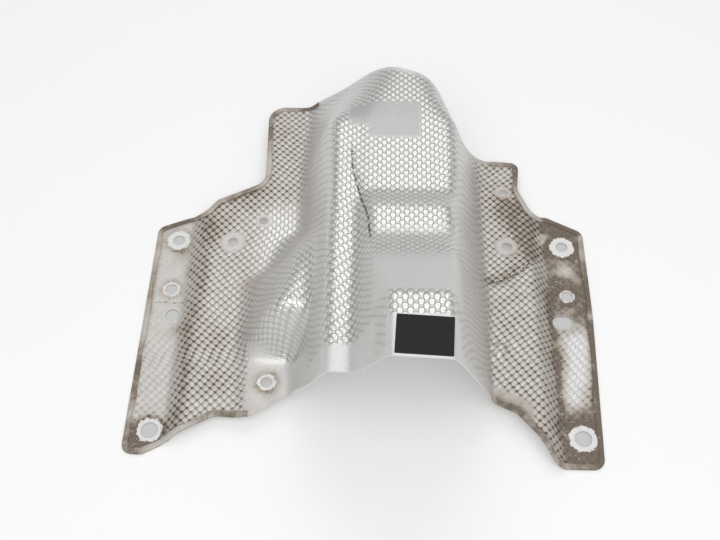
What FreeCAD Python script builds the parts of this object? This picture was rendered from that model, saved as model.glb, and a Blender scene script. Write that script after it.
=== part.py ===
"""Firewall heat shield: one aluminium sheet, pressed over a stepped tunnel, with hemmed wings.

Millimetres, +Z up. The shield lies as it rests on a bench, on the flat margins of its two
wings. X runs across the wings, Y along the tunnel, away from its tall mouth. The origin is
in the middle of the overall box, on the underside of the margins.
"""
import FreeCAD, Part
import math
import os

# Sheet and folded rim
SHEET = 1.0
HEM_WIDTH = 4.5
HEM_END_LEFT_FAR = -50.0
HEM_END_LEFT_NEAR = -96.0
HEM_END_RIGHT_FAR = 107.0
HEM_END_RIGHT_NEAR = 120.0

# Overall size
WIDTH = 375.0
LENGTH = 358.0

# Wings: flat margins at the bench, panels pressed up inside them. A bend along the shield is given by
# where it starts and ends, from the far or near end.
LEFT_MARGIN_WIDTH = 30.0
RIGHT_MARGIN_WIDTH = 36.0
PANEL_RISE = 8.0
PANEL_RUN = 13.0
TAB_RISE = 6.0
TAB_BEND_FROM_FAR = (151.0, 89.0)
CUSHION_RISE = 5.0
CUSHION_FOOT_BEND_FROM_FAR = (191.0, 201.0)
CUSHION_OUTER_BEND_FROM_FAR = (151.0, 191.0)

# Tunnel: drafted side walls and a roof
LEFT_FOOT_X = -58.0
LEFT_DRAFT = 16.4
RIGHT_FOOT_X = 94.5
RIGHT_FOOT_SPLAY = 1.2
RIGHT_DRAFT = 14.7
ROOF_HEIGHT = 97.0

# Block on the roof: a low step, a ramp and a plateau at the mouth
BLOCK_FOOT_X = -8.0
BLOCK_DRAFT = 18.0
BLOCK_EDGE = 3.0
LEDGE_RISE = 2.0
STEP_RISE = 11.0
STEP_FROM_FAR = (171.0, 191.0)
PLATEAU_HEIGHT = 158.0
RAMP_FROM_NEAR = (137.0, 53.0)

# Dome: towards the far end the roof closes in to a round arch, with these corners as x and z
DOME_FROM_FAR = (89.0, 14.0)
DOME_CORNERS = [(-18.0, 60.0), (0.0, 80.0), (20.0, 94.0), (44.0, 94.0)]
DOME_RIGHT_FOOT_X = 86.0

# Side bulge on the left wall: it starts narrow, peaks at the wall and widens towards the mouth. Each x is
# that of its foot and of its top edge.
BULGE_HEIGHT = 64.0
BULGE_FAR_SIDE_FROM_NEAR = (207.0, 167.0)
BULGE_FOOT_BEND_FROM_NEAR = (167.0, 157.0)
BULGE_WIDENING_FROM_NEAR = (167.0, 101.0)
BULGE_NEAR_SIDE_FROM_NEAR = (87.0, 101.0)
BULGE_START_X = (-78.0, -68.0)
BULGE_PEAK_X = (-86.0, -51.0)
BULGE_FULL_X = (-101.0, -74.0)

# Smooth pad for the single fixing beside the mouth
PAD_RISE = 4.0
PAD_FAR_SIDE_FROM_NEAR = (101.0, 87.0)
PAD_TOP_X = -93.0

# Pressed corners: how far a round runs up the faces beside it, and at most what share of them
CORNER_REACH = 6.5
BULGE_CORNER_REACH = 8.0
MOUTH_CORNER_REACH = 2.5
CORNER_SHARE = 0.4

# Fixing holes, placed from the side edges and from the far or near end
PAIR_INSET = 19.5
UPPER_PAIR_FROM_FAR = 149.0
UPPER_PAIR_DIAMETER = 10.5
SECOND_PAIR_FROM_FAR = 201.0
SECOND_PAIR_DIAMETER = 10.5
LOWER_PAIR_FROM_NEAR = 25.5
LOWER_PAIR_DIAMETER = 13.5
THIRD_ROW_FROM_FAR = 227.0
THIRD_HOLE_INSET = 23.5
THIRD_HOLE_DIAMETER = 12.0
SLOT_INSET = 25.5
SLOT_LENGTH = 17.5
SLOT_WIDTH = 13.0
INNER_PAIR_INSET = 68.5
INNER_PAIR_FROM_FAR = 155.5
INNER_PAIR_DIAMETER = 8.6
LEFT_CLIP_INSET = 93.5
LEFT_CLIP_FROM_FAR = 133.0
RIGHT_CLIP_INSET = 68.5
RIGHT_CLIP_FROM_FAR = 95.0
CLIP_HOLE_DIAMETER = 7.3
PAD_HOLE_X = -79.0
PAD_HOLE_FROM_NEAR = 63.0
PAD_HOLE_DIAMETER = 10.0

# Blank black patch on the plateau, from one of its side edges to the other
PATCH_SIDE_GAP = 3.5
PATCH_WIDTH = 29.5
PATCH_CORNER = 0.8
PATCH_THICKNESS = 0.3
PATCH_FROM_NEAR = 20.5
PATCH_TURN = -3.0

# Trimmed edge in plan, clockwise from the left tab. Each corner is its inset from the side edge, its
# distance from the far or near end, and its radius. Corners at the mouth have their x instead of an inset.
LEFT_TAB_TRIM = [(89.5, 0.0, 16.0), (140.5, 0.0, 12.0)]
RIGHT_TAB_TRIM = [(83.5, 58.0, 8.0), (52.5, 60.0, 7.0), (55.5, 91.0, 16.0)]
RIGHT_FAR_TRIM = [(45.5, 116.0, 10.0), (30.5, 117.0, 8.0), (0.0, 133.0, 9.0), (0.0, 219.0, 60.0)]
RIGHT_NEAR_TRIM = [(5.5, 0.0, 9.0), (44.5, 0.0, 11.0), (55.5, 21.0, 14.0), (71.5, 40.0, 14.0)]
MOUTH_TRIM = [(94.0, 50.0, 6.0), (58.0, 3.0, 4.0), (16.0, 5.0, 6.0), (-10.0, 26.0, 7.0)]
PAD_TRIM = [(-36.0, 27.0, 7.0), (-55.0, 53.0, 5.0), (-66.0, 49.0, 7.0), (-90.0, 33.0, 9.0)]
LEFT_NEAR_TRIM = [(69.5, 35.0, 18.0), (15.5, 5.0, 7.0), (0.0, 6.0, 8.0)]
LEFT_FAR_TRIM = [(0.0, 136.0, 9.0), (27.5, 124.0, 8.0), (42.5, 124.0, 6.0), (51.5, 112.0, 6.0),
                 (92.5, 92.0, 15.0)]

# Stock round the pressing before it is trimmed, and the largest gap that still counts as flat
SKIRT = 6.0
FLAT_GAP = 1e-6

RIGHT = WIDTH / 2
LEFT = -RIGHT
FAR = LENGTH / 2
NEAR = -FAR

# Bends along the shield: where each starts and ends
TAB_BEND = [FAR - y for y in TAB_BEND_FROM_FAR]
CUSHION_FOOT_BEND = [FAR - y for y in CUSHION_FOOT_BEND_FROM_FAR]
CUSHION_OUTER_BEND = [FAR - y for y in CUSHION_OUTER_BEND_FROM_FAR]
STEP = [FAR - y for y in STEP_FROM_FAR]
DOME = [FAR - y for y in DOME_FROM_FAR]
RAMP = [NEAR + y for y in RAMP_FROM_NEAR]
BULGE_FAR_SIDE = [NEAR + y for y in BULGE_FAR_SIDE_FROM_NEAR]
BULGE_FOOT_BEND = [NEAR + y for y in BULGE_FOOT_BEND_FROM_NEAR]
BULGE_WIDENING = [NEAR + y for y in BULGE_WIDENING_FROM_NEAR]
BULGE_NEAR_SIDE = [NEAR + y for y in BULGE_NEAR_SIDE_FROM_NEAR]
PAD_FAR_SIDE = [NEAR + y for y in PAD_FAR_SIDE_FROM_NEAR]

# The whole trimmed edge: x, y and corner radius
TRIM = [
    *[(LEFT + inset, FAR - y, radius) for inset, y, radius in LEFT_TAB_TRIM],
    *[(RIGHT - inset, FAR - y, radius) for inset, y, radius in RIGHT_TAB_TRIM + RIGHT_FAR_TRIM],
    *[(RIGHT - inset, NEAR + y, radius) for inset, y, radius in RIGHT_NEAR_TRIM],
    *[(x, NEAR + y, radius) for x, y, radius in MOUTH_TRIM + PAD_TRIM],
    *[(LEFT + inset, NEAR + y, radius) for inset, y, radius in LEFT_NEAR_TRIM],
    *[(LEFT + inset, FAR - y, radius) for inset, y, radius in LEFT_FAR_TRIM],
]


def grow(y, span):
    """Runs straight from 0 at the start of a span to 1 at its end."""
    start, end = span
    return min(max((y - start) / (end - start), 0.0), 1.0)


def between(first, last, share):
    """The value part of the way from first to last."""
    return first + (last - first) * share


def lean(draft):
    """Run per rise of a wall that leans by its draft angle."""
    return math.tan(math.radians(draft))


def section(y):
    """Corners of the sheet's underside across the shield at one y, left to right.

    Each corner is x, z and how far its round reaches. The bends of the margins are sharp.
    """
    dome = grow(y, DOME)
    ramp = grow(y, RAMP)
    pad = grow(y, PAD_FAR_SIDE)
    bulge_start = grow(y, BULGE_FAR_SIDE)
    soft = CORNER_REACH
    crisp = between(CORNER_REACH, MOUTH_CORNER_REACH, ramp)

    left_margin = LEFT + LEFT_MARGIN_WIDTH
    right_margin = RIGHT - RIGHT_MARGIN_WIDTH
    left_panel = PANEL_RISE + TAB_RISE * grow(y, TAB_BEND)
    right_panel = PANEL_RISE + CUSHION_RISE * grow(y, CUSHION_OUTER_BEND)
    right_foot_z = PANEL_RISE + CUSHION_RISE * grow(y, CUSHION_FOOT_BEND)
    right_foot_x = between(RIGHT_FOOT_X, DOME_RIGHT_FOOT_X, dome) - y * lean(RIGHT_FOOT_SPLAY)

    bulge_foot_x = between(BULGE_START_X[0], BULGE_PEAK_X[0], bulge_start)
    bulge_foot_x = between(bulge_foot_x, BULGE_FULL_X[0], grow(y, BULGE_FOOT_BEND))
    bulge_top_x = between(BULGE_START_X[1], BULGE_PEAK_X[1], bulge_start)
    bulge_top_x = between(bulge_top_x, BULGE_FULL_X[1], grow(y, BULGE_WIDENING))
    bulge_top_x = between(bulge_top_x, PAD_TOP_X, pad)
    bulge_level = between(left_panel + PAD_RISE * pad, BULGE_HEIGHT, bulge_start * grow(y, BULGE_NEAR_SIDE))
    bulge_end_x = LEFT_FOOT_X + (bulge_level - left_panel) * lean(LEFT_DRAFT)

    crest = between(ROOF_HEIGHT + LEDGE_RISE + STEP_RISE * grow(y, STEP), PLATEAU_HEIGHT, ramp)
    left_shoulder_x = LEFT_FOOT_X + (ROOF_HEIGHT - left_panel) * lean(LEFT_DRAFT)
    block_top_x = BLOCK_FOOT_X + BLOCK_EDGE + (crest - ROOF_HEIGHT) * lean(BLOCK_DRAFT)
    right_shoulder_x = right_foot_x - (crest - right_foot_z) * lean(RIGHT_DRAFT)
    roof = [(left_shoulder_x, ROOF_HEIGHT), (BLOCK_FOOT_X, ROOF_HEIGHT),
            (block_top_x, crest), (right_shoulder_x, crest)]
    roof = [(between(x, dome_x, dome), between(z, dome_z, dome))
            for (x, z), (dome_x, dome_z) in zip(roof, DOME_CORNERS)]
    return [
        (LEFT - SKIRT, 0.0, 0.0),
        (left_margin, 0.0, 0.0),
        (left_margin + PANEL_RUN, left_panel, 0.0),
        (bulge_foot_x, left_panel, BULGE_CORNER_REACH),
        (bulge_top_x, bulge_level, BULGE_CORNER_REACH),
        (bulge_end_x, bulge_level, soft),
        (*roof[0], soft),
        (*roof[1], soft),
        (*roof[2], crisp),
        (*roof[3], crisp),
        (right_foot_x, right_foot_z, soft),
        (right_margin - PANEL_RUN, right_panel, 0.0),
        (right_margin, 0.0, 0.0),
        (RIGHT + SKIRT, 0.0, 0.0),
    ]


def pressed_lines():
    """The pressed corners as lines along the shield, with a point and a reach at every bend along it."""
    bends = [TAB_BEND, CUSHION_FOOT_BEND, CUSHION_OUTER_BEND, STEP, RAMP, DOME,
             BULGE_FAR_SIDE, BULGE_FOOT_BEND, BULGE_WIDENING, BULGE_NEAR_SIDE, PAD_FAR_SIDE]
    along = sorted({NEAR - SKIRT, FAR + SKIRT}.union(*bends))
    sections = [section(y) for y in along]
    points = [[FreeCAD.Vector(x, y, z) for x, z, _ in corners] for y, corners in zip(along, sections)]
    reaches = [[reach for _, _, reach in corners] for corners in sections]
    return [list(line) for line in zip(*points)], list(zip(*reaches))


def face_normals(left, right):
    """Upward unit normals, section by section, of the face between two corner lines."""
    normals = []
    last = len(left) - 1
    for i in range(len(left)):
        before = max(i - 1, 0)
        after = min(i + 1, last)
        forward = (left[after] + right[after]) - (left[before] + right[before])
        normals.append((right[i] - left[i]).cross(forward).normalize())
    return normals


def strips(lift):
    """The pressed form lifted along its normal: strips of two rows for faces, three for rounds."""
    lines, reaches = pressed_lines()
    normals = [face_normals(a, b) for a, b in zip(lines, lines[1:])]
    left = [p + n * lift for p, n in zip(lines[0], normals[0])]
    made = []
    for k in range(1, len(lines) - 1):
        start, corner, end = [], [], []
        for i, here in enumerate(lines[k]):
            back = lines[k - 1][i] - here
            ahead = lines[k + 1][i] - here
            reach = min(reaches[k][i], CORNER_SHARE * back.Length, CORNER_SHARE * ahead.Length)
            before = normals[k - 1][i]
            after = normals[k][i]
            start.append(here + back * (reach / back.Length) + before * lift)
            corner.append(here + (before + after) * (lift / (1 + before.dot(after))))
            end.append(here + ahead * (reach / ahead.Length) + after * lift)
        if any(reaches[k]):
            made += [[left, start], [start, corner, end]]
            left = end
        else:
            made.append([left, corner])
            left = corner
    made.append([left, [p + n * lift for p, n in zip(lines[-1], normals[-1])]])
    return made


def ruled_face(rows):
    """One face over rows of two points each: flat or twisted between two rows, round over three."""
    first, last = rows[0], rows[-1]
    across = len(rows)
    if across == 2:
        normal = (first[1] - first[0]).cross(last[0] - first[0]).normalize()
        if abs(normal.dot(last[1] - first[0])) < FLAT_GAP:
            return Part.Face(Part.makePolygon([first[0], first[1], last[1], last[0], first[0]]))
    surface = Part.BSplineSurface()
    surface.buildFromPolesMultsKnots(rows, [across, across], [2, 2], [0.0, 1.0], [0.0, 1.0],
                                     False, False, across - 1, 1)
    return surface.toShape()


def slab(lower_lift, upper_lift):
    """The solid between two lifts of the pressed form."""
    lower = strips(lower_lift)
    upper = strips(upper_lift)
    bays = range(len(lower[0][0]) - 1)
    faces = [ruled_face([row[i:i + 2] for row in strip]) for strip in lower + upper for i in bays]
    for low, high in zip(lower, upper):
        for end in (0, -1):
            faces.append(ruled_face([[a[end], b[end]] for a, b in zip(low, high)]))
    for side in (0, -1):
        pairs = list(zip(lower[side][side], upper[side][side]))
        faces += [ruled_face([list(pairs[i]), list(pairs[i + 1])]) for i in bays]
    shell = Part.makeShell(faces)
    shell.sewShape()
    solid = Part.makeSolid(shell)
    if solid.Volume < 0:
        solid.reverse()
    return solid


def rounded_outline(corners):
    """A flat face inside straight sides, with corners given as x, y and corner radius."""
    points = [FreeCAD.Vector(x, y, 0) for x, y, _ in corners]
    starts, ends, edges = [], [], []
    for i, (_, _, radius) in enumerate(corners):
        here = points[i]
        back = (points[i - 1] - here).normalize()
        ahead = (points[(i + 1) % len(points)] - here).normalize()
        half_angle = back.getAngle(ahead) / 2
        setback = radius / math.tan(half_angle)
        middle = (back + ahead).normalize()
        nearest = here + middle * (radius / math.sin(half_angle) - radius)
        starts.append(here + back * setback)
        ends.append(here + ahead * setback)
        edges.append(Part.Arc(starts[i], nearest, ends[i]).toShape())
    for i in range(len(points)):
        edges.append(Part.LineSegment(ends[i - 1], starts[i]).toShape())
    return Part.Face(Part.Wire(Part.__sortEdges__(edges)))


def column(face):
    """A column over a flat face, tall enough to pass through the whole pressing."""
    base = face.copy()
    base.translate(FreeCAD.Vector(0, 0, -SKIRT))
    return base.extrude(FreeCAD.Vector(0, 0, PLATEAU_HEIGHT + 4 * SKIRT))


def drill(x, y, diameter):
    """A column that drills one round hole."""
    rim = Part.makeCircle(diameter / 2, FreeCAD.Vector(x, y, 0))
    return column(Part.Face(Part.Wire(rim)))


def slot_cutter(x, y):
    """A column that cuts the slot, which runs across the wing."""
    run = SLOT_LENGTH - SLOT_WIDTH
    middle = Part.makePlane(run, SLOT_WIDTH, FreeCAD.Vector(x - run / 2, y - SLOT_WIDTH / 2, 0))
    ends = [drill(x + side * run / 2, y, SLOT_WIDTH) for side in (-1, 1)]
    return column(middle).fuse(ends)


def holes():
    """Every hole in the sheet: paired fixings, the slot, clip holes and the pad's fixing."""
    tools = []
    for inset, y, diameter in ((PAIR_INSET, FAR - UPPER_PAIR_FROM_FAR, UPPER_PAIR_DIAMETER),
                               (PAIR_INSET, FAR - SECOND_PAIR_FROM_FAR, SECOND_PAIR_DIAMETER),
                               (PAIR_INSET, NEAR + LOWER_PAIR_FROM_NEAR, LOWER_PAIR_DIAMETER),
                               (INNER_PAIR_INSET, FAR - INNER_PAIR_FROM_FAR, INNER_PAIR_DIAMETER)):
        tools += [drill(x, y, diameter) for x in (LEFT + inset, RIGHT - inset)]
    third_row = FAR - THIRD_ROW_FROM_FAR
    tools.append(drill(LEFT + THIRD_HOLE_INSET, third_row, THIRD_HOLE_DIAMETER))
    tools.append(slot_cutter(RIGHT - SLOT_INSET, third_row))
    tools.append(drill(LEFT + LEFT_CLIP_INSET, FAR - LEFT_CLIP_FROM_FAR, CLIP_HOLE_DIAMETER))
    tools.append(drill(RIGHT - RIGHT_CLIP_INSET, FAR - RIGHT_CLIP_FROM_FAR, CLIP_HOLE_DIAMETER))
    tools.append(drill(PAD_HOLE_X, NEAR + PAD_HOLE_FROM_NEAR, PAD_HOLE_DIAMETER))
    return tools


def heat_shield():
    """The trimmed sheet, thicker by one fold along its hemmed edges, with its holes."""
    outline = rounded_outline(TRIM)
    folded = slab(0, 2 * SHEET).common(column(outline))
    near = NEAR - SKIRT
    far = FAR + SKIRT
    unhemmed = Part.Face(Part.makePolygon([
        FreeCAD.Vector(HEM_END_LEFT_NEAR, near, 0), FreeCAD.Vector(HEM_END_RIGHT_NEAR, near, 0),
        FreeCAD.Vector(HEM_END_RIGHT_FAR, far, 0), FreeCAD.Vector(HEM_END_LEFT_FAR, far, 0),
        FreeCAD.Vector(HEM_END_LEFT_NEAR, near, 0)]))
    single = column(outline.makeOffset2D(-HEM_WIDTH)).fuse(column(unhemmed))
    cavity = slab(SHEET, 3 * SHEET).common(single)
    return folded.cut(cavity).cut(holes()).removeSplitter()


def black_patch():
    """A thin blank patch that follows the plateau between its two side edges."""
    middle_y = NEAR + PATCH_FROM_NEAR
    edges = [x for x, z, _ in section(middle_y) if abs(z - PLATEAU_HEIGHT) < FLAT_GAP]
    left_edge = min(edges) + PATCH_SIDE_GAP
    right_edge = max(edges) - PATCH_SIDE_GAP
    half_length = (right_edge - left_edge) / 2
    half_width = PATCH_WIDTH / 2
    outline = rounded_outline([(i * half_length, j * half_width, PATCH_CORNER)
                               for i, j in ((-1, -1), (1, -1), (1, 1), (-1, 1))])
    outline.rotate(FreeCAD.Vector(), FreeCAD.Vector(0, 0, 1), PATCH_TURN)
    outline.translate(FreeCAD.Vector((left_edge + right_edge) / 2, middle_y, 0))
    return slab(SHEET, SHEET + PATCH_THICKNESS).common(column(outline)).removeSplitter()


os.makedirs("parts", exist_ok=True)
for name, shape in (("heat_shield", heat_shield()), ("black_patch", black_patch())):
    solid, = shape.Solids
    solid.exportStep("parts/" + name + ".step")
    print(name, solid.isValid(), round(solid.Volume), "mm3")
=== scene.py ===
"""Looks of a firewall heat shield: one pressed sheet of dimpled aluminium, lying on a white table."""
import math

import bpy
import numpy as np
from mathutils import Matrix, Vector
from mathutils.geometry import delaunay_2d_cdt


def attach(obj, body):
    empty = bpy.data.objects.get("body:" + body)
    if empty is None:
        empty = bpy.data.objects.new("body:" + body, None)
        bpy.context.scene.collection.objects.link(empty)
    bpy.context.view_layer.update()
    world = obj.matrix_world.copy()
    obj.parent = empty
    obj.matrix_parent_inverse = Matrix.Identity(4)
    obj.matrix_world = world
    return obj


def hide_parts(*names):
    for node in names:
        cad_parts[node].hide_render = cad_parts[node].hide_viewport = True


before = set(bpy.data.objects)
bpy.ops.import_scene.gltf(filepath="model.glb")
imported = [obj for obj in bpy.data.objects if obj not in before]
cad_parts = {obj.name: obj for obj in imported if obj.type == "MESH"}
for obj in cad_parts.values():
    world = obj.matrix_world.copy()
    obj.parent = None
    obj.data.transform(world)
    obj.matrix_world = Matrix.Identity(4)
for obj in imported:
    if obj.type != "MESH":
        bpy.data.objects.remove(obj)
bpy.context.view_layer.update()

# Pressed form
# One sheet of aluminium about 1 mm thick is pressed between two tools into a stepped tunnel with a side
# bulge and flat wings. All lengths are in millimetres: x across, y along the tunnel, away from its mouth.
# A name that ends in _Y is where a change starts and where it ends along the tunnel.
SHEET = 1.0
DRAWN_SHARE = 0.6
GRID_STEP = 0.5
GRID_END_X = 196.0
GRID_END_Y = 190.0
GRID_X = np.arange(-GRID_END_X, GRID_END_X + 0.1, GRID_STEP)
GRID_Y = np.arange(-GRID_END_Y, GRID_END_Y + 0.1, GRID_STEP)
PANEL_HEIGHT = 8
TAB_RISE = 6
PAD_RISE = 4
RIGHT_PANEL_RISE = 5
BULGE_HEIGHT = 64
LEDGE_HEIGHT = 97
ROOF_HEIGHT = 99
STEP_RISE = 11
PLATEAU_HEIGHT = 158
LEFT_LEAN = 0.294
BLOCK_LEAN = 0.325
RIGHT_LEAN = 0.262
DOME_Y = (90, 165)
TAB_Y = (28, 90)
STEP_Y = (8, -12)
RAMP_Y = (-42, -126)
PAD_Y = (-78, -92)
BULGE_FAR_Y = (28, -12)
BULGE_WIDENING_Y = (-12, -22)
BULGE_ROOF_Y = (-12, -78)
BULGE_NEAR_Y = (-92, -78)


def smooth(t):
    """Rises from 0 to 1 as t goes from 0 to 1, level at both ends: 3 t squared less 2 t cubed."""
    t = np.clip(t, 0.0, 1.0)
    return t * t * (3.0 - 2.0 * t)


def rise(y, start, end):
    """Runs straight from 0 at start to 1 at end."""
    return np.clip((y - start) / (end - start), 0.0, 1.0)


def corners_across(y):
    """Corners of the sheet's underside across the shield at each y, left to right, as x and height."""
    level = np.zeros_like(y)
    dome = rise(y, *DOME_Y)
    crest = ROOF_HEIGHT + STEP_RISE * rise(y, *STEP_Y)
    crest = crest + (PLATEAU_HEIGHT - crest) * rise(y, *RAMP_Y)
    left_panel = PANEL_HEIGHT + TAB_RISE * rise(y, *TAB_Y)
    pad = rise(y, *PAD_Y)
    bulge = rise(y, *BULGE_FAR_Y)
    bulge_foot = -72 - 12 * bulge - 17 * rise(y, *BULGE_WIDENING_Y)
    bulge_edge = -65 + 17 * bulge - 26 * rise(y, *BULGE_ROOF_Y)
    bulge_edge = bulge_edge + (-93 - bulge_edge) * pad
    shelf = left_panel + PAD_RISE * pad
    bulge_top = shelf + (BULGE_HEIGHT - shelf) * bulge * rise(y, *BULGE_NEAR_Y)
    right_inner = PANEL_HEIGHT + RIGHT_PANEL_RISE * rise(y, *BULGE_WIDENING_Y)
    right_outer = PANEL_HEIGHT + RIGHT_PANEL_RISE * rise(y, *BULGE_FAR_Y)
    right_foot = 94.5 - 8.5 * dome - 0.021 * y
    left_foot = -58
    block_foot = -5
    shoulder = left_foot + (LEDGE_HEIGHT - left_panel) * LEFT_LEAN
    block_top = block_foot + (crest - LEDGE_HEIGHT) * BLOCK_LEAN
    right_shoulder = right_foot - (crest - right_inner) * RIGHT_LEAN
    right_shoulder = right_shoulder - 5 * rise(y, 40, -12) + 2.5 * rise(y, -60, -126)
    corners = [
        (level - GRID_END_X, level),
        (level - 157.5, level),
        (level - 144.5, left_panel),
        (bulge_foot, left_panel),
        (bulge_edge, bulge_top),
        (left_foot + (bulge_top - left_panel) * LEFT_LEAN, bulge_top),
        (shoulder + (-18 - shoulder) * dome, LEDGE_HEIGHT - 41 * dome),
        (-8 + 8 * dome, LEDGE_HEIGHT - 17 * dome),
        (block_top + (20 - block_top) * dome, crest - 5 * dome),
        (right_shoulder + (46 - right_shoulder) * dome, crest - 5 * dome),
        (right_foot, right_inner),
        (level + 138.5, right_outer),
        (level + 151.5, level),
        (level + GRID_END_X, level),
    ]
    return [np.stack(values, axis=-1) for values in zip(*corners)]


def look_up(at, keys, values):
    """Row by row, the value at each place, straight between the values at the keys and level beyond them.
    All rows are laid end to end, 2000 mm apart, so that one look-up serves them."""
    shift = 2000.0 * np.arange(len(keys))[:, None]
    within = np.clip(at, keys[:, :1], keys[:, -1:])
    found = np.interp((within + shift).ravel(), (keys + shift).ravel(), values.ravel())
    return found.reshape(at.shape)


def softened(heights, spread):
    """Heights on the grid after a blur by a bell curve of the given spread, in both directions."""
    reach = np.arange(-3 * spread, 3 * spread + GRID_STEP, GRID_STEP)
    bell = np.exp(-0.5 * (reach / spread) ** 2)
    bell /= bell.sum()
    margin = len(bell) // 2
    for axis in (0, 1):
        widths = [(margin, margin) if axis == k else (0, 0) for k in (0, 1)]
        heights = np.apply_along_axis(np.convolve, axis, np.pad(heights, widths, mode="edge"), bell, "valid")
    return heights


grid_x, grid_y = np.meshgrid(GRID_X, GRID_Y)
sharp = look_up(grid_x, *corners_across(GRID_Y))
plateau_edges = smooth(grid_x / 10) * smooth((-45 - grid_y) / 45)
margin_bends = smooth((np.abs(grid_x) - 125) / 12)
dome_zone = smooth((grid_y - 70) / 60) * smooth((grid_x + 55) / 20)
bulge_zone = smooth((grid_x + 112) / 10) * smooth((-40 - grid_x) / 10) * smooth((grid_y + 118) / 14)
bulge_zone *= smooth((40 - grid_y) / 15)
FORM = softened(sharp, 4.0)
for zone, spread in ((np.maximum(plateau_edges, margin_bends), 1.5), (dome_zone, 8.0), (bulge_zone, 5.5)):
    FORM = FORM * (1 - zone) + softened(sharp, spread) * zone
added_along = DRAWN_SHARE * (np.hypot(GRID_STEP, np.diff(FORM, axis=0)) - GRID_STEP)
DRAWN_ALONG = grid_y.copy()
DRAWN_ALONG[:-1] -= np.cumsum(added_along[::-1], axis=0)[::-1]


def sampled(field, x, y):
    """A value of the grid at any place, straight between the grid's points."""
    across = np.clip((x - GRID_X[0]) / GRID_STEP, 0, len(GRID_X) - 1.001)
    along = np.clip((y - GRID_Y[0]) / GRID_STEP, 0, len(GRID_Y) - 1.001)
    row, column = along.astype(int), across.astype(int)
    past_row, past_column = along - row, across - column
    near = field[row, column] * (1 - past_column) + field[row, column + 1] * past_column
    far = field[row + 1, column] * (1 - past_column) + field[row + 1, column + 1] * past_column
    return near * (1 - past_row) + far * past_row


def height(x, y):
    """Height of the sheet's underside."""
    return sampled(FORM, x, y)


def upward(x, y):
    """Unit normals of the pressed form, from its slope over a millimetre each way."""
    slope_x = height(x + 0.5, y) - height(x - 0.5, y)
    slope_y = height(x, y + 0.5) - height(x, y - 0.5)
    normal = np.stack([-slope_x, -slope_y, np.ones_like(slope_x)], axis=-1)
    return normal / np.linalg.norm(normal, axis=-1, keepdims=True)


def drawn_rows(y):
    """The x of the grid and its drawn length in the section at each y. The drawn length is x plus the drawn
    share of what a wall adds to it, and equals x at the middle of the crown."""
    x = np.tile(GRID_X, (len(y), 1))
    z = height(x, np.broadcast_to(y[:, None], x.shape))
    added = np.hypot(GRID_STEP, np.diff(z, axis=1)) - GRID_STEP
    length = x + DRAWN_SHARE * np.concatenate([np.zeros((len(y), 1)), np.cumsum(added, axis=1)], axis=1)
    crown = np.full((len(y), 1), 33.0)
    return x, length + crown - look_up(crown, x, length)


def drawn(x, y):
    """Drawn length at each of a row of places."""
    return look_up(x[:, None], *drawn_rows(y))[:, 0]


# Trimmed edge and holes
# After pressing, the sheet is trimmed to its outline and pierced. Corners are x, y and radius, clockwise
# from the left tab. Holes are x, y, radius and the radii of the flat ring pressed round them and of the clean
# mark that a washer left. The slot is x, y, radius and half of what its two ends stand apart.
TRIM = np.array([
    (-98, 179, 16), (-47, 179, 12), (104, 121, 8), (135, 119, 7), (132, 88, 16), (142, 63, 10),
    (157, 62, 8), (187.5, 46, 9), (187.5, -40, 60), (182, -179, 9), (143, -179, 11), (132, -158, 14),
    (116, -139, 14), (94, -129, 6), (58, -176, 4), (16, -174, 6), (-10, -153, 7), (-36, -152, 7),
    (-55, -126, 5), (-66, -130, 7), (-90, -146, 9), (-118, -144, 18), (-172, -174, 7),
    (-187.5, -173, 8), (-187.5, 43, 9), (-160, 55, 8), (-145, 55, 6), (-136, 67, 6), (-95, 87, 15),
])
HOLES = np.array([
    (-168, 30, 5.25, 10, 10), (168, 30, 5.25, 10, 10.5), (-168, -22, 5.25, 8, 7), (168, -22, 5.25, 7, 6),
    (-168, -153.5, 6.75, 10, 10), (168, -153.5, 6.75, 10, 11), (-119, 23.5, 4.3, 10.5, 0),
    (119, 23.5, 4.3, 10, 0), (-164, -48, 6, 8, 0), (-94, 46, 3.65, 6, 0), (119, 84, 3.65, 7.5, 0),
    (-79, -116, 5, 7.5, 7),
])
SLOT = (162.0, -48.0, 6.5, 2.25)
OUTLINE_SPACING = 1.5
COARSE_SPACING = 4.0
NEAR_END = -179
LENGTH = 358


def trimmed_loop(corners, spacing):
    """The rounded outline as evenly spaced points: at each corner an arc from one tangent point to the
    other, then all of it spaced out along its length."""
    here = corners[:, :2]
    radius = corners[:, 2]
    back = np.roll(here, 1, axis=0) - here
    ahead = np.roll(here, -1, axis=0) - here
    back /= np.linalg.norm(back, axis=1, keepdims=True)
    ahead /= np.linalg.norm(ahead, axis=1, keepdims=True)
    half = 0.5 * np.arccos(np.clip((back * ahead).sum(axis=1), -1, 1))
    middle = (back + ahead) / np.linalg.norm(back + ahead, axis=1, keepdims=True)
    centre = here + middle * (radius / np.sin(half))[:, None]
    start = here + back * (radius / np.tan(half))[:, None] - centre
    side = here + ahead * (radius / np.tan(half))[:, None] - centre
    turn = (np.pi - 2 * half)[:, None, None]
    t = np.linspace(0.0, 1.0, 13)[None, :, None]
    arc = (start[:, None] * np.sin((1 - t) * turn) + side[:, None] * np.sin(t * turn)) / np.sin(turn)
    rough = (arc + centre[:, None]).reshape(-1, 2)
    rough = np.vstack([rough, rough[:1]])
    travelled = np.concatenate([[0.0], np.cumsum(np.linalg.norm(np.diff(rough, axis=0), axis=1))])
    at = np.arange(round(travelled[-1] / spacing)) / round(travelled[-1] / spacing) * travelled[-1]
    return np.stack([np.interp(at, travelled, rough[:, 0]), np.interp(at, travelled, rough[:, 1])], axis=1)


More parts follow.
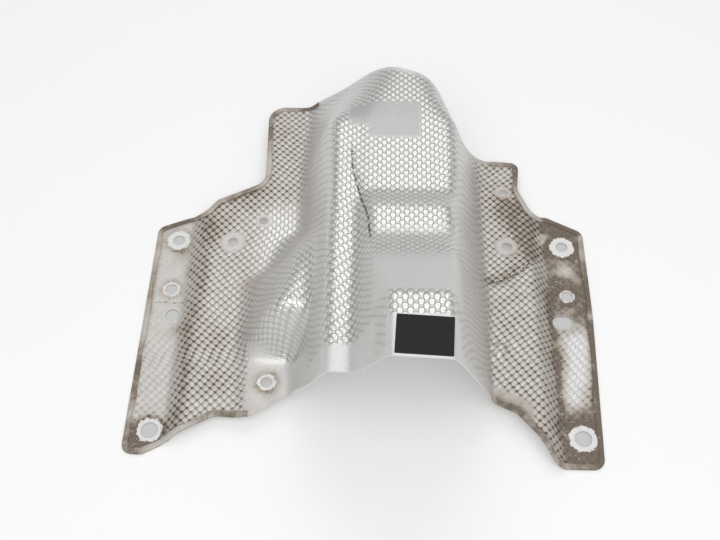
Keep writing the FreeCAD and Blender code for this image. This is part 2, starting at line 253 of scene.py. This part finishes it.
def ring(x, y, radius, count, stretch=0.0):
    """A round hole's rim, or a slot's when its two halves stand apart by twice the stretch."""
    angle = 2 * np.pi * (np.arange(count) + 0.5) / count
    shift = stretch * np.sign(np.cos(angle))
    return np.stack([x + radius * np.cos(angle) + shift, y + radius * np.sin(angle)], axis=1)


def side_distance(x, y, start, end):
    """Distance from the nearest point of a straight side."""
    dx, dy = end[0] - start[0], end[1] - start[1]
    t = np.clip(((x - start[0]) * dx + (y - start[1]) * dy) / (dx * dx + dy * dy), 0.0, 1.0)
    return np.hypot(x - start[0] - t * dx, y - start[1] - t * dy)


def inside_distance(x, y, loop):
    """Distance from a closed loop, positive inside it. For each side in turn, the distance and whether a
    line towards +x crosses it."""
    nearest = np.full(x.shape, 1e9)
    crossings = np.zeros(x.shape, dtype=int)
    for start, end in zip(loop, np.roll(loop, -1, axis=0)):
        nearest = np.minimum(nearest, side_distance(x, y, start, end))
        dx, dy = end - start
        if dy != 0:
            between = (start[1] > y) != (end[1] > y)
            crossings += between & (x < start[0] + (y - start[1]) * dx / dy)
    return np.where(crossings % 2 == 1, nearest, -nearest)


outline = trimmed_loop(TRIM, OUTLINE_SPACING)
outline_coarse = trimmed_loop(TRIM, COARSE_SPACING)
hole_rims = [ring(x, y, radius, 36) for x, y, radius in HOLES[:, :3]]
hole_rims.append(ring(SLOT[0], SLOT[1], SLOT[2], 40, SLOT[3]))

# Emboss and hand marks
# Before pressing, the sheet was rolled with round knobs on a square lattice that stands on its corner,
# 5 mm apart. Pressing lowered them on the walls and ironed them nearly flat on most of the margins, on the
# pad and under washers. Use left creases.
PITCH = 5.0
KNOB_HEIGHT = 0.4
CELL = PITCH * math.sqrt(2.0) / 4


def path_distance(x, y, points):
    """Distance from an open line through the given points."""
    return np.minimum.reduce([side_distance(x, y, start, end) for start, end in zip(points, points[1:])])


def spot(x, y, centre_x, centre_y, radius):
    """A soft round spot: 1 in the middle, falling as the exponential of the squared distance."""
    return np.exp(-((x - centre_x) ** 2 + (y - centre_y) ** 2) / radius ** 2)


def box_zone(x, y, x_range, y_range, soft):
    """1 inside a rectangle, falling to 0 over a soft border."""
    across = smooth((x - x_range[0]) / soft) * smooth((x_range[1] - x) / soft)
    return across * smooth((y - y_range[0]) / soft) * smooth((y_range[1] - y) / soft)


CREASES = [
    ([(-16.5, 60), (-15.7, 54), (-14.4, 33.5), (-9.9, 13.7), (-6.4, -1.2), (-1.5, -19.8), (1.2, -46.3)], 1.0),
    ([(97.8, -17.5), (112, -14), (124, -7), (132.4, 0), (144.2, 13.4)], 1.0),
    ([(-151.5, -33.5), (-137.6, -60.3), (-104.6, -68.4), (-93, -81)], 0.25),
    ([(-182, -34.4), (-150, -36)], 0.5),
    ([(37, 146), (43, 139)], 0.7),
    ([(48, 136), (53, 126)], 0.8),
    ([(57, 121), (62, 111)], 0.8),
]
VALLEY = [(-101, -22.5), (-79, -12.4), (-55, 18), (-53, 66)]
IRONED_BOXES = [
    ((-2, 76), (-14, 8), 4, 0.4),
    ((-2, 76), (-60, -30), 6, 0.35),
    ((-48, 8), (-190, -129), 3, 0.95),
    ((12, 62), (-180, -141), 2, 1.0),
]


def creased(x, y):
    """How strong the nearest crease is, fading to its ends and sides, and the distance from it, negative on
    its left, which a shader turns into a thin dark line of painted shade in the fold, together with dirt."""
    strength = np.zeros(x.shape)
    offset = np.full(x.shape, 99.0)
    for points, amount in CREASES:
        ends = np.minimum(*[np.hypot(x - end_x, y - end_y) for end_x, end_y in (points[0], points[-1])])
        for start, end in zip(points, points[1:]):
            away = side_distance(x, y, start, end)
            nearer = away < np.abs(offset)
            side = np.sign((x - start[0]) * (end[1] - start[1]) - (y - start[1]) * (end[0] - start[0]))
            offset = np.where(nearer, side * away, offset)
            strength = np.where(nearer, amount * smooth(ends / 4), strength)
    return strength * smooth((5 - np.abs(offset)) / 3), np.clip(offset, -5, 5)


def pad_zone(x, y):
    """1 on the smooth pad beside the mouth, which a sloping line bounds on the far side."""
    far_edge = -81 - 0.48 * (x + 95)
    return smooth((x + 97) / 3) * smooth((-42 - x) / 6) * smooth((far_edge - y) / 4)


def marking_place(x, y):
    """1 on the bare flat place for a marking on the crown, two rectangles side by side."""
    return np.maximum(box_zone(x, y, (-4, 41), (66, 110), 2), box_zone(x, y, (-19, 0), (80, 108), 2))


def hole_distance(x, y):
    """Distances from the nearest rim, flat ring and clean mark, negative inside them. The mark's edge is
    ragged: waves across the sheet push it in and out."""
    ragged = 0.9 * np.sin(1.15 * x + 0.5 * y) * np.sin(1.05 * y - 0.45 * x) + 0.5 * np.sin(0.5 * x - 0.7 * y)
    past_ends = np.maximum(np.abs(x - SLOT[0]) - SLOT[3], 0.0)
    rim = np.hypot(past_ends, y - SLOT[1]) - SLOT[2]
    flat = rim - 1.0
    mark = np.full(x.shape, 1e9)
    for hole_x, hole_y, radius, flat_radius, mark_radius in HOLES:
        away = np.hypot(x - hole_x, y - hole_y)
        rim = np.minimum(rim, away - radius)
        flat = np.minimum(flat, away - flat_radius)
        mark = np.minimum(mark, away - mark_radius - ragged)
    return rim, flat, mark


def emboss_left(x, y, edge, upright, flat):
    """How much of the emboss is left, from 0 to 1. The upward share of the normal tells walls from flats,
    and edge and flat are the distances from the trimmed edge and from the flat rings."""
    left = 1 - 0.38 * smooth((0.88 - upright) / 0.5)
    left_margin = smooth((-150 - x) / 8) * (1 - 0.35 * smooth((-60 - y) / 30))
    right_margin = smooth((x - 146) / 8) * (1 - 0.45 * box_zone(x, y, (154, 184), (-130, -50), 8))
    left *= (1 - 0.9 * left_margin) * (1 - 0.9 * right_margin)
    left *= smooth((flat + 0.5) / 2.5)
    left *= 1 - 0.95 * pad_zone(x, y)
    left *= 1 - 0.94 * marking_place(x, y)
    for x_range, y_range, soft, amount in IRONED_BOXES:
        left *= 1 - amount * box_zone(x, y, x_range, y_range, soft)
    left *= 1 - 0.95 * box_zone(x, y, (2, 68), (-124, -52), 4) * smooth((-56 - y) / 28)
    left *= 1 - 0.95 * box_zone(x, y, (86, 132), (-160, -104), 4) * smooth((17 - edge) / 4)
    left *= 1 - 0.8 * np.exp(-(path_distance(x, y, VALLEY) / 9) ** 2)
    left *= 1 - spot(x, y, -174, -164, 16)
    return left * smooth((edge - 3) / 3)


def hand_marks(x, y, flat):
    """Creases as shallow grooves, a blind knob, a small bump on the tab, rings pressed in by washers and,
    away from the margins and the plateau, the slow unevenness of a sheet that was bent and taken off."""
    strength, offset = creased(x, y)
    marks = -0.9 * strength * np.exp(-(offset / 2) ** 2)
    marks += 2.4 * smooth((7.5 - np.hypot(x - 106.4, y + 82.4)) / 5)
    marks += 1.4 * np.exp(-((x + 78.5) / 2.5) ** 2 - ((y - 143) / 9) ** 2)
    marks -= 0.2 * smooth(-flat / 1.5) * smooth((height(x, y) - 1) / 3)
    uneven = 0.35 * np.sin(x / 19 + 0.6) * np.sin(y / 23 + 1.1)
    return marks + uneven * smooth((height(x, y) - 2) / 6) * smooth((y + 140) / 20)


def lattice(u, v):
    """Place in the rolled pattern, counted in knobs along its two directions, which cross at 45 degrees."""
    return np.stack([u + v, u - v], axis=-1) / (PITCH * math.sqrt(2.0))


def knobs(u, v):
    """The rolled pattern from 0 to 1: a cosine along each direction, added and cut off, so that the knobs
    are round with broad tops and the recesses stand at the corners between them."""
    return smooth((np.cos(2 * np.pi * lattice(u, v)).sum(axis=-1) + 1.2) / 2.6)


# Grime
# Road dirt lies in the recesses of the wings and on their margins, in the corners and round the washers,
# while the tunnel stayed clean. It is worked out for each point of the sheet and read by its material.
DARK_BANDS = [
    ([(-142.8, 48), (-141.5, 4), (-142, -37), (-145.5, -64), (-145, -94), (-147, -152)], 6, 0.45),
    ([(99, -14), (112, -10), (131, 4), (141, 18)], 4, 0.4),
    ([(-150, -168), (-118, -148), (-95, -146)], 5, 0.4),
    ([(150, -20), (151, -60), (152, -110), (150, -150)], 5, 0.35),
    (VALLEY, 8, 0.3),
]
DARK_SPOTS = [
    (-122.6, -77, 14, 0.25), (-123.5, -114, 15, 0.25), (-134.8, 39, 14, 0.4), (-163, 16, 8, 0.4),
    (-153, -5, 7, 0.35), (-157.5, -62.6, 8, 0.45), (-170, -166, 19, 1.3), (-79, -116, 14, 0.4),
    (130, 60, 16, 0.75), (137.7, 41, 13, 0.75), (130, 21, 12, 0.3), (116, 77, 15, 0.3), (141.5, 22, 9, 0.5),
    (156, -14.6, 11, 0.3), (154, -84, 11, 0.35), (163, -158, 24, 0.3), (176, 40, 11, 0.3),
    (-88, -141, 12, 0.2), (-72, -134, 13, 0.22), (108, -136, 16, 0.25),
]
CLEAN_SPOTS = [(172, -66, 12, 0.9), (170, -84, 12, 0.9), (168, -102, 11, 0.9), (164, -119, 9, 0.8),
               (168.9, 4.5, 6, 0.5), (150, 38, 6, 0.6)]


def grime(x, y, edge, flat, mark):
    """Dirt from 0 to 1: a level for each wing and margin, dark bands and spots and a dark ring round each
    washer mark, less the clean spots. The distances are those from the trimmed edge, the flat rings and the
    washer marks."""
    dirt = 0.34 * smooth((-80 - x) / 25) * (1 - 0.6 * pad_zone(x, y))
    dirt += 0.07 * smooth((x - 60) / 10) + 0.36 * smooth((x - 84) / 22)
    dirt += 0.44 * smooth((y - 45) / 30) * smooth((-56 - x) / 10)
    dirt += 0.4 * smooth((x - 147) / 8) - 0.1 * smooth((-152 - x) / 8)
    for points, width, amount in DARK_BANDS:
        dirt += amount * np.exp(-(path_distance(x, y, points) / width) ** 2)
    for centre_x, centre_y, radius, amount in DARK_SPOTS:
        dirt += amount * spot(x, y, centre_x, centre_y, radius)
    for centre_x, centre_y, radius, amount in CLEAN_SPOTS:
        dirt -= amount * spot(x, y, centre_x, centre_y, radius)
    dirt += 0.3 * smooth((8 - edge) / 4) * smooth((np.abs(x) - 90) / 25)
    dirt *= 1 - 0.5 * smooth(-flat / 2)
    dirt += 0.35 * np.exp(-((mark - 1.5) / 2.5) ** 2)
    return np.clip(dirt, 0.0, 1.0) + 0.02


# Sheet mesh
# The face has a square grid with a point on every knob and recess; the back has one at half the fineness.
# Full cells are split towards the knobs, and a belt of free triangles joins them to the rims.
DRAWN_END = 380.0
SHARP_ANGLE = math.radians(62)
ATTRIBUTES = ("dirt", "emboss", "washer", "marking", "crease", "crease_offset")


def dressed(x, y, u, lift):
    """Points of the sheet at a lift above its underside, with emboss and marks along the normal. Then for
    each the dirt, the emboss left, the distance from a washer mark, the place for a marking, the crease and
    the distance from it, and the place in the pattern."""
    normal = upward(x, y)
    edge = inside_distance(x, y, outline_coarse)
    _, flat, mark = hole_distance(x, y)
    left = emboss_left(x, y, edge, normal[..., 2], flat)
    v = sampled(DRAWN_ALONG, x, y)
    raised = KNOB_HEIGHT * left * (knobs(u, v) - 0.5) + hand_marks(x, y, flat) * smooth((edge - 1) / 4)
    points = np.stack([x, y, height(x, y)], axis=-1) + normal * (lift + raised)[..., None]
    points[..., 2] = np.maximum(points[..., 2], 0.0)
    values = [grime(x, y, edge, flat, mark), left, np.clip(mark, -5, 5), marking_place(x, y), *creased(x, y)]
    values += [*np.moveaxis(lattice(u, v), -1, 0)]
    return points, np.stack(values, axis=-1)


def skin(loops, cell, lift):
    """One face of the sheet. Its first points are the rims, in order; then come the grid points that lie
    clear of them. The triangles follow, counter-clockwise from above."""
    rim = np.vstack(loops)
    rows, columns = [np.arange(-math.floor(end / cell), math.floor(end / cell) + 1)
                     for end in (GRID_END_Y, DRAWN_END)]
    u, y = np.meshgrid(columns * cell, rows * cell)
    grid, length = drawn_rows(rows * cell)
    x = look_up(u, length, grid)
    clear = inside_distance(x, y, outline_coarse) > 0.55 * cell
    clear &= hole_distance(x, y)[0] > 0.55 * cell
    all_x = np.concatenate([rim[:, 0], x[clear]])
    all_y = np.concatenate([rim[:, 1], y[clear]])
    all_u = np.concatenate([drawn(rim[:, 0], rim[:, 1]), u[clear]])
    points, values = dressed(all_x, all_y, all_u, lift)
    index = np.full(clear.shape, -1)
    index[clear] = len(rim) + np.arange(clear.sum())
    full = clear[:-1, :-1] & clear[1:, :-1] & clear[:-1, 1:] & clear[1:, 1:]
    a, b, c, d = [part[full] for part in (index[:-1, :-1], index[:-1, 1:], index[1:, 1:], index[1:, :-1])]
    row, column = np.nonzero(full)
    same = (rows[row] + columns[column]) % 2 == 0
    split = np.where(same[:, None], np.stack([a, b, c, a, c, d], 1), np.stack([a, b, d, b, c, d], 1))
    sides = np.sort(np.concatenate([np.stack(pair, 1) for pair in ((a, b), (b, c), (c, d), (d, a))]), axis=1)
    side, uses = np.unique(sides, axis=0, return_counts=True)
    cut_sides = side[uses == 1]
    inner = np.zeros(clear.shape, dtype=int)
    for down, right in ((0, 0), (0, 1), (1, 0), (1, 1)):
        inner[down:inner.shape[0] - 1 + down, right:inner.shape[1] - 1 + right] += full
    used = np.concatenate([np.arange(len(rim)), index[clear & (inner < 4)]])
    flat = np.column_stack([all_u, all_y])
    place = np.full(len(flat), -1)
    place[used] = np.arange(len(used))
    ends = np.cumsum([len(loop) for loop in loops])
    following = np.arange(1, len(rim) + 1)
    following[ends - 1] = np.concatenate([[0], ends[:-1]])
    fixed = np.concatenate([np.column_stack([np.arange(len(rim)), following]), place[cut_sides]])
    made = delaunay_2d_cdt([Vector(p) for p in flat[used].tolist()], fixed.tolist(), [], 0, 1e-7)
    origin = np.array([names[0] for names in made[3]])
    free = used[origin[np.array(made[2])]]
    middle_u, middle_y = flat[free].mean(axis=1).T
    grid, length = drawn_rows(middle_y)
    middle_x = look_up(middle_u[:, None], length, grid)[:, 0]
    in_row = np.clip(np.floor(middle_y / cell).astype(int) - rows[0], 0, full.shape[0] - 1)
    in_column = np.clip(np.floor(middle_u / cell).astype(int) - columns[0], 0, full.shape[1] - 1)
    keep = ~full[in_row, in_column] & (inside_distance(middle_x, middle_y, outline) > 0)
    keep &= hole_distance(middle_x, middle_y)[0] > 0
    return points, np.concatenate([split.reshape(-1, 3), free[keep]]), values, following


def add_piece(name, points, faces, material, values):
    """A mesh object from points in millimetres and rows of corner numbers. The values of each point are those
    that a material reads, and last its place in the pattern, which is the UV map."""
    mesh = bpy.data.meshes.new(name)
    mesh.vertices.add(len(points))
    mesh.vertices.foreach_set("co", (np.asarray(points) * 0.001).astype(np.float32).ravel())
    mesh.loops.add(faces.size)
    mesh.loops.foreach_set("vertex_index", faces.astype(np.int32).ravel())
    mesh.polygons.add(len(faces))
    mesh.polygons.foreach_set("loop_start", np.arange(0, faces.size, faces.shape[1], dtype=np.int32))
    mesh.update(calc_edges=True)
    mesh.polygons.foreach_set("use_smooth", np.ones(len(faces), dtype=bool))
    mesh.set_sharp_from_angle(angle=SHARP_ANGLE)
    for column, label in enumerate(ATTRIBUTES):
        written = mesh.attributes.new(label, "FLOAT", "POINT")
        written.data.foreach_set("value", values[:, column].astype(np.float32))
    pattern = mesh.uv_layers.new(name="pattern")
    pattern.uv.foreach_set("vector", values[faces.ravel(), len(ATTRIBUTES):].astype(np.float32).ravel())
    mesh.materials.append(material)
    piece = bpy.data.objects.new(name, mesh)
    bpy.context.scene.collection.objects.link(piece)
    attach(piece, "root")
    return piece


# Sheet material
# Bare rolled aluminium with ironed flats. Its knob tops carry a painted highlight, with painted shade in the
# small dimple on each, and the net round them is painted shade. Brown road dirt lies on it as a thin film, as
# a crust where it is thick and in the pits between knobs; washers kept it off. The thin dark line along each
# crease is painted shade in the fold, together with dirt.
KNOB_TOP_HIGHLIGHT = (0.8, 0.795, 0.78, 1)
DIMPLE_SHADE = (0.5, 0.495, 0.485, 1)
NET_SHADE_CLEAN = (0.53, 0.525, 0.515, 1)
NET_SHADE_SOILED = (0.56, 0.55, 0.53, 1)
IRONED_FLAT = (0.77, 0.765, 0.755, 1)
MARKING_FIELD = (0.57, 0.567, 0.56, 1)
WASHER_MARK = (0.78, 0.775, 0.765, 1)
DIRT_FILM = (0.33, 0.262, 0.19, 1)
DIRT_CRUST = (0.13, 0.105, 0.085, 1)
PIT_DIRT_AND_CREASE_SHADE = (0.075, 0.06, 0.05, 1)


def node(tree, kind, settings=None, **inputs):
    """Adds a shader node. Inputs are values or other nodes' outputs, by socket name with _ for a space."""
    made = tree.nodes.new(kind)
    for name, value in (settings or {}).items():
        setattr(made, name, value)
    for name, value in inputs.items():
        socket = made.inputs[int(name[1:])] if name[1:].isdigit() else made.inputs[name.replace("_", " ")]
        if isinstance(value, bpy.types.NodeSocket):
            tree.links.new(value, socket)
        else:
            socket.default_value = value
    return made


def maths(tree, operation, first, second=0.0, clamp=False):
    """One arithmetic step on two shader values."""
    settings = {"operation": operation, "use_clamp": clamp}
    return node(tree, "ShaderNodeMath", settings, i0=first, i1=second).outputs[0]


def mixed(tree, share, first, second):
    """A colour part of the way from the first to the second."""
    made = node(tree, "ShaderNodeMix", {"data_type": "RGBA"}, i0=share, i6=first, i7=second)
    return made.outputs[2]


def stepped(tree, value, start, end):
    """A shader value that rises smoothly from 0 at start to 1 at end."""
    made = node(tree, "ShaderNodeMapRange", {"interpolation_type": "SMOOTHSTEP"}, Value=value,
                From_Min=start, From_Max=end)
    return made.outputs[0]


embossed = bpy.data.materials.new("embossed_aluminium")
embossed.use_nodes = True
tree = embossed.node_tree
shader = tree.nodes["Principled BSDF"]
place = node(tree, "ShaderNodeTexCoord").outputs["Object"]
dirt, emboss, washer, marking, crease, offset = [
    node(tree, "ShaderNodeAttribute", {"attribute_name": label}).outputs["Fac"] for label in ATTRIBUTES]
pattern = node(tree, "ShaderNodeUVMap", {"uv_map": "pattern"}).outputs["UV"]
cell = node(tree, "ShaderNodeSeparateXYZ", Vector=pattern).outputs
from_knob = [maths(tree, "PINGPONG", cell[direction], 0.5) for direction in "XY"]
from_knob = node(tree, "ShaderNodeCombineXYZ", X=from_knob[0], Y=from_knob[1]).outputs[0]
radius = node(tree, "ShaderNodeVectorMath", {"operation": "LENGTH"}, i0=from_knob).outputs["Value"]
disc = stepped(tree, radius, 0.5, 0.32)
dimple = stepped(tree, radius, 0.16, 0.05)
pit = stepped(tree, radius, 0.47, 0.62)
blotch = node(tree, "ShaderNodeTexNoise", Vector=place, Scale=95.0, Detail=5.0, Roughness=0.65).outputs["Fac"]
speck = node(tree, "ShaderNodeTexNoise", Vector=place, Scale=480.0, Detail=3.0, Roughness=0.6).outputs["Fac"]
clean = stepped(tree, maths(tree, "ADD", washer, maths(tree, "MULTIPLY", speck, 3.0)), 1.9, 1.2)
# A thin dark line along each crease: painted shade in the fold, together with dirt, in the pits' colour.
line = maths(tree, "MULTIPLY", crease, stepped(tree, maths(tree, "ABSOLUTE", offset), 1.3, 0.5))
line = maths(tree, "MULTIPLY", line, stepped(tree, speck, 0.45, 0.53))
patchy = maths(tree, "MULTIPLY", dirt, maths(tree, "ADD", maths(tree, "MULTIPLY", blotch, 1.3), 0.35))
bare = maths(tree, "MAXIMUM", clean, maths(tree, "MULTIPLY", stepped(tree, speck, 0.62, 0.7), 0.6))
film = maths(tree, "MULTIPLY", patchy, maths(tree, "SUBTRACT", 1.0, bare), clamp=True)
pits = maths(tree, "MULTIPLY", maths(tree, "MULTIPLY", pit, emboss), maths(tree, "POWER", film, 2.0))
pits = maths(tree, "MULTIPLY", pits, 4.2, clamp=True)
wiped = maths(tree, "MULTIPLY", maths(tree, "MULTIPLY", disc, emboss), 0.25)
film = maths(tree, "MULTIPLY", film, maths(tree, "SUBTRACT", 1.0, wiped))
crust = maths(tree, "MULTIPLY", stepped(tree, film, 0.6, 1.0), maths(tree, "ADD", speck, 0.3), clamp=True)
# The net round the knobs is painted shade and the knob tops are a painted highlight, with painted shade in
# the small dimple on each.
net_shade = mixed(tree, stepped(tree, dirt, 0.05, 0.17), NET_SHADE_CLEAN, NET_SHADE_SOILED)
rolled = mixed(tree, disc, net_shade, KNOB_TOP_HIGHLIGHT)
rolled = mixed(tree, maths(tree, "MULTIPLY", dimple, blotch), rolled, DIMPLE_SHADE)
tint = mixed(tree, emboss, IRONED_FLAT, rolled)
# Dirt in the pits, and the painted shade of the crease lines.
pit_dirt_and_crease_shade = maths(tree, "MAXIMUM", pits, line)
for share, colour in ((marking, MARKING_FIELD), (clean, WASHER_MARK), (film, DIRT_FILM),
                      (crust, DIRT_CRUST), (pit_dirt_and_crease_shade, PIT_DIRT_AND_CREASE_SHADE)):
    tint = mixed(tree, share, tint, colour)
dirt_and_crease_shade = maths(tree, "MAXIMUM", film, pit_dirt_and_crease_shade, clamp=True)
tree.links.new(tint, shader.inputs["Base Color"])
tree.links.new(maths(tree, "SUBTRACT", 0.8, maths(tree, "MULTIPLY", dirt_and_crease_shade, 0.7)), shader.inputs["Metallic"])
rough = maths(tree, "ADD", maths(tree, "MULTIPLY", dirt_and_crease_shade, 0.3), maths(tree, "MULTIPLY", blotch, 0.1))
ironed = maths(tree, "SUBTRACT", 1.0, emboss)
rough = maths(tree, "ADD", rough, maths(tree, "MULTIPLY", ironed, 0.2))
tree.links.new(maths(tree, "ADD", rough, 0.3), shader.inputs["Roughness"])
knob = maths(tree, "SUBTRACT", disc, maths(tree, "MULTIPLY", dimple, 0.3))
relief = maths(tree, "MULTIPLY", maths(tree, "MULTIPLY", emboss, knob), 0.0004)
hammered = maths(tree, "ADD", maths(tree, "MULTIPLY", ironed, 0.0003), 0.0001)
relief = maths(tree, "ADD", relief, maths(tree, "MULTIPLY", speck, hammered))
grain = node(tree, "ShaderNodeBump", Strength=1.0, Distance=1.0, Height=relief)
tree.links.new(grain.outputs["Normal"], shader.inputs["Normal"])

face_points, face_triangles, face_values, following = skin([outline] + hole_rims, CELL, SHEET)
back_points, back_triangles, back_values, _ = skin([outline] + hole_rims, 2 * CELL, 0.0)
back_values[:, ATTRIBUTES.index("dirt")] *= 0.6
count = len(face_points)
first = np.arange(len(following))
rim_sides = np.concatenate([np.column_stack([first, following, following + count]),
                            np.column_stack([first, following + count, first + count])])
sheet = add_piece("pressed_sheet", np.concatenate([face_points, back_points]),
                  np.concatenate([face_triangles, back_triangles[:, ::-1] + count, rim_sides]), embossed,
                  np.concatenate([face_values, back_values]))
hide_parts("heat_shield")

# Folded hem
# Round the wings and tabs the edge of the sheet is folded over on the outer side and pressed flat, so the
# rim is two sheets thick and safe to handle. The fold gathers dirt and is a little uneven.
HEM_PROFILE = np.array([
    (0.9, -0.02), (0.35, 0.12), (0.02, 0.55), (-0.1, 1.05), (0.02, 1.55), (0.35, 1.95), (0.95, 2.15),
    (2.6, 2.2), (3.9, 2.1), (4.4, 1.85), (4.5, 1.4), (4.45, 0.9), (2.5, 0.8), (1.2, 0.6),
])
share = (outline[:, 1] - NEAR_END) / LENGTH
folded = (outline[:, 0] < -96 + 46 * share) | (outline[:, 0] > 120 - 13 * share)
start = np.flatnonzero(~folded)[0]
path = np.roll(outline, -start, axis=0)
folded = np.roll(folded, -start)
runs = np.flatnonzero(np.diff(np.concatenate([[0], folded.astype(int), [0]]))).reshape(-1, 2)
ring_size = len(HEM_PROFILE)
for number, (begin, end) in enumerate(runs):
    line = path[begin:end]
    ahead = np.gradient(line, axis=0)
    ahead /= np.linalg.norm(ahead, axis=1, keepdims=True)
    inward = np.column_stack([ahead[:, 1], -ahead[:, 0]])
    wander = np.arange(len(line)) * OUTLINE_SPACING
    width = 1 + 0.09 * np.sin(wander / 11) + 0.06 * np.sin(wander / 4.7 + 2)
    reach = np.where(HEM_PROFILE[:, 0] > 2, HEM_PROFILE[:, 0] * width[:, None], HEM_PROFILE[:, 0])
    lift = HEM_PROFILE[:, 1] * (1 + 0.05 * np.sin(wander / 7.3 + 1)[:, None])
    hem_x = (line[:, :1] + inward[:, :1] * reach).ravel()
    hem_y = (line[:, 1:] + inward[:, 1:] * reach).ravel()
    points = np.column_stack([hem_x, hem_y, height(hem_x, hem_y)])
    points += upward(hem_x, hem_y) * lift.reshape(-1, 1)
    corner = np.arange(len(line) - 1)[:, None] * ring_size + np.arange(ring_size)
    beside = np.arange(len(line) - 1)[:, None] * ring_size + np.roll(np.arange(ring_size), -1)
    sides = np.stack([corner, beside, beside + ring_size, corner + ring_size], axis=-1).reshape(-1, 4)
    spokes = np.arange(1, ring_size - 1)
    fan = np.column_stack([np.zeros_like(spokes), spokes, spokes + 1])
    triangles = np.concatenate([sides[:, [0, 1, 2]], sides[:, [0, 2, 3]], fan[:, ::-1],
                                fan + (len(line) - 1) * ring_size])
    hem_dirt = 0.72 + 0.3 * np.sin(wander / 17 + number) * np.sin(wander / 41)
    hem_dirt += 0.4 * smooth((line[:, 0] - 176) / 6) * smooth((-40 - line[:, 1]) / 10)
    hem_dirt += 0.35 * smooth((line[:, 0] - 148) / 8) * smooth((line[:, 1] - 40) / 8)
    values = np.zeros((len(points), len(ATTRIBUTES) + 2))
    values[:, ATTRIBUTES.index("dirt")] = np.repeat(hem_dirt, ring_size)
    values[:, [ATTRIBUTES.index(label) for label in ("washer", "crease_offset")]] = 5
    hem = add_piece("folded_hem_" + ("right", "left")[number], points, triangles, embossed, values)

# Black patch
# A thin blank film of soft plastic, matt black with a fine grain, cut to a rectangle and stuck on the plateau
# over the mouth. The CAD solid shows as it is, with this material.
film_black = bpy.data.materials.new("matt_black_film")
film_black.use_nodes = True
tree = film_black.node_tree
shader = tree.nodes["Principled BSDF"]
shader.inputs["Roughness"].default_value = 0.7
place = node(tree, "ShaderNodeTexCoord").outputs["Object"]
weave = node(tree, "ShaderNodeTexNoise", Vector=place, Scale=900.0, Detail=2.0).outputs["Fac"]
grey = mixed(tree, weave, (0.01, 0.01, 0.01, 1), (0.02, 0.02, 0.02, 1))
tree.links.new(grey, shader.inputs["Base Color"])
shader.inputs["Specular IOR Level"].default_value = 0.25
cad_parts["black_patch"].material_slots[0].material = film_black

# Table, light and camera
# A plain white table top under two soft lights, behind the shield and in front of it, in a dim surround.
# Under the two margins it has no glow and is greyer, so that the holes in them show it in shade.
TABLE_WHITE = (0.7, 0.7, 0.7, 1)
TABLE_SHADE = (0.55, 0.55, 0.55, 1)
TABLE_GLOW = 0.24
TABLE_HALF = 4.0
TABLE_TOP = -0.0003
floor_mesh = bpy.data.meshes.new("table_top")
floor_corners = [(x * TABLE_HALF, y * TABLE_HALF, TABLE_TOP) for x, y in ((-1, -1), (1, -1), (1, 1), (-1, 1))]
floor_mesh.from_pydata(floor_corners, [], [(0, 1, 2, 3)])
table_white = bpy.data.materials.new("white_table")
table_white.use_nodes = True
tree = table_white.node_tree
shader = tree.nodes["Principled BSDF"]
shader.inputs["Roughness"].default_value = 0.8
shader.inputs["Emission Color"].default_value = (1, 1, 1, 1)
seen = node(tree, "ShaderNodeLightPath").outputs
bright = maths(tree, "MAXIMUM", seen["Is Glossy Ray"], seen["Is Transmission Ray"])
bright = maths(tree, "MULTIPLY", maths(tree, "MAXIMUM", seen["Is Camera Ray"], bright), TABLE_GLOW)
place = node(tree, "ShaderNodeTexCoord").outputs["Object"]
place = node(tree, "ShaderNodeSeparateXYZ", Vector=place).outputs
across = maths(tree, "ABSOLUTE", place["X"])
under = 1.0
for distance, outer, inner in ((across, 0.15, 0.155), (across, 0.183, 0.178),
                               (place["Y"], -0.1635, -0.161), (place["Y"], 0.045, 0.04)):
    under = maths(tree, "MULTIPLY", under, stepped(tree, distance, outer, inner))
tree.links.new(mixed(tree, under, TABLE_WHITE, TABLE_SHADE), shader.inputs["Base Color"])
glow = maths(tree, "MULTIPLY", bright, maths(tree, "SUBTRACT", 1.0, under))
tree.links.new(glow, shader.inputs["Emission Strength"])
floor_mesh.materials.append(table_white)
floor = bpy.data.objects.new("table_top", floor_mesh)
bpy.context.scene.collection.objects.link(floor)

world = bpy.data.worlds.new("soft_surround")
bpy.context.scene.world = world
world.use_nodes = True
world.node_tree.nodes["Background"].inputs["Color"].default_value = (1, 1, 1, 1)
world.node_tree.nodes["Background"].inputs["Strength"].default_value = 0.46

LAMP_AIM = Vector((0.02, 0.0, 0.06))
for name, place, size, energy in (("soft_box", (0.05, 0.9, 1.35), (1.3, 0.9), 5.2),
                                  ("front_light", (0.05, -0.85, 1.55), (2.0, 1.4), 19.0)):
    lamp = bpy.data.lights.new(name, "AREA")
    lamp.shape = "RECTANGLE"
    lamp.size, lamp.size_y = size
    lamp.energy = energy
    holder = bpy.data.objects.new(name, lamp)
    holder.location = place
    holder.rotation_euler = (LAMP_AIM - holder.location).to_track_quat("-Z", "Y").to_euler()
    bpy.context.scene.collection.objects.link(holder)

camera = bpy.data.cameras.new("camera")
camera.lens = 50
camera.sensor_width = 36
viewer = bpy.data.objects.new("camera", camera)
viewer.location = (0.0032, -0.4931, 0.708)
viewer.rotation_euler = (math.radians(35), 0, math.radians(1.3))
bpy.context.scene.collection.objects.link(viewer)
bpy.context.scene.camera = viewer
bpy.context.scene.view_settings.view_transform = "Standard"
